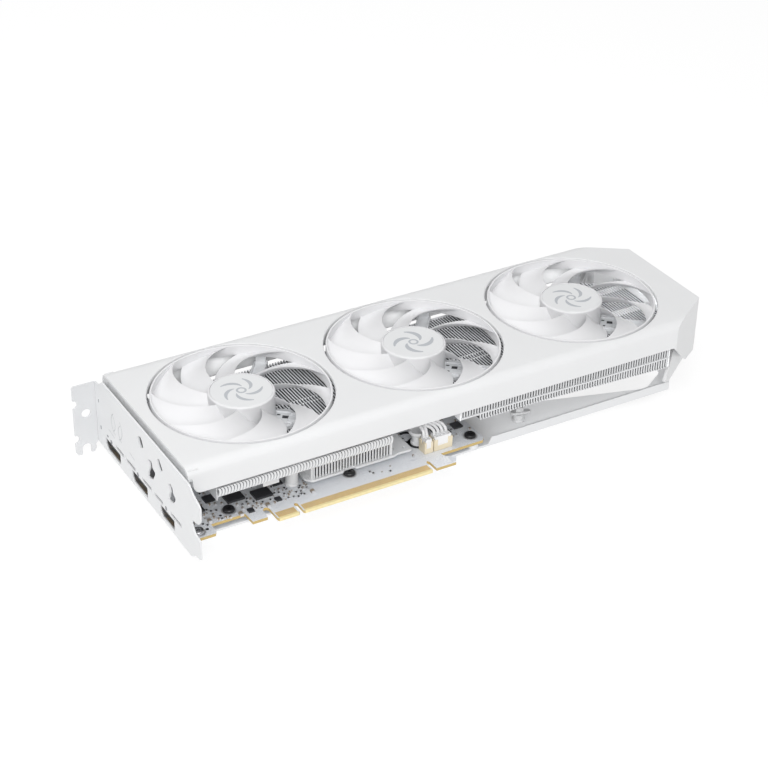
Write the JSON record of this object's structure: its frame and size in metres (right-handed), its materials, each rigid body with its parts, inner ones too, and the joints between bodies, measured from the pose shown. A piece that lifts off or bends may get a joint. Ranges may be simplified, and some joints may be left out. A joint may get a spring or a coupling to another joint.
{
  "type": "graphics card",
  "caption": "White expansion graphics card: axial fans in a faceted shroud over a finned heatsink, short circuit board with edge contacts, windowed backplate and slot bracket.",
  "frame": {"origin": "bottom centre of the whole card, at the level of the slot bracket's lowest point", "axes": "+X along the card away from the slot bracket, +Y from the contact edge to the top edge, +Z from the backplate to the fans"},
  "size_m": [0.3194, 0.1214, 0.0497],
  "materials": {
    "white_plastic": "fine matt",
    "fan_plastic": "fine matt",
    "badge": "gloss disc",
    "white_sheet": "powder coat",
    "white_fin": "white coated aluminium",
    "board": "light solder mask",
    "package": "laminate",
    "die": "polished silicon",
    "chip": "moulded epoxy",
    "socket": "dull plated steel",
    "power": "black nylon",
    "nickel": "nickel plated copper",
    "copper": "enamelled copper wire",
    "brass": "turned",
    "steel": "ground",
    "magnet": "bonded ferrite",
    "black_metal": "black oxide",
    "beige": "natural nylon",
    "white_cable": "white insulation"
  },
  "bodies": {
    "card": {"backplate": "white_sheet", "bearing_sleeve_left": "brass", "bearing_sleeve_middle": "brass", "bearing_sleeve_right": "brass", "board_screw_1": "black_metal", "board_screw_2": "black_metal", "board_screw_3": "black_metal", "bracket_screw": "steel", "circuit_board": "board", "cold_plate": "nickel", "displayport_left": "socket", "displayport_middle": "socket", "fan_cable": "white_cable", "fan_header": "beige", "fan_plug": "white_plastic", "fin_stack_flow": "white_fin", "fin_stack_main": "white_fin", "gpu_die": "die", "gpu_package": "package", "hdmi_port": "socket", "heat_pipe_1": "nickel", "heat_pipe_2": "nickel", "heat_pipe_3": "nickel", "heat_pipe_4": "nickel", "heatsink_pillar": "white_plastic", "io_bracket": "white_sheet", "light_cable": "white_cable", "light_header": "beige", "light_plug": "white_plastic", "memory_chip_1": "chip", "memory_chip_2": "chip", "memory_chip_3": "chip", "memory_chip_4": "chip", "memory_chip_5": "chip", "memory_chip_6": "chip", "motor_base_left": "white_plastic", "motor_base_middle": "white_plastic", "motor_base_right": "white_plastic", "plate_clip_boss": "white_plastic", "power_socket_left": "power", "power_socket_right": "power", "shroud": "white_plastic", "shroud_post": "white_plastic", "stator_coil_left": "copper", "stator_coil_middle": "copper", "stator_coil_right": "copper", "vrm_base_plate": "white_fin", "vrm_fin_block": "white_fin"},
    "fan_left": {"fan_rotor_left": "fan_plastic", "hub_badge_left": "badge", "rotor_shaft_left": "steel", "magnet_ring_left": "magnet"},
    "fan_middle": {"fan_rotor_middle": "fan_plastic", "hub_badge_middle": "badge", "rotor_shaft_middle": "steel", "magnet_ring_middle": "magnet"},
    "fan_right": {"fan_rotor_right": "fan_plastic", "hub_badge_right": "badge", "rotor_shaft_right": "steel", "magnet_ring_right": "magnet"}
  },
  "joints": [
    {"name": "fan_left_spin", "type": "hinge", "parent": "card", "child": "fan_left", "pos_m": [-0.09403, 0.00485, 0.045], "axis": [0, 0, 1], "continuous": true},
    {"name": "fan_middle_spin", "type": "hinge", "parent": "card", "child": "fan_middle", "pos_m": [0.00253, 0.00485, 0.045], "axis": [0, 0, 1], "continuous": true},
    {"name": "fan_right_spin", "type": "hinge", "parent": "card", "child": "fan_right", "pos_m": [0.09909, 0.00485, 0.045], "axis": [0, 0, 1], "continuous": true}
  ]
}
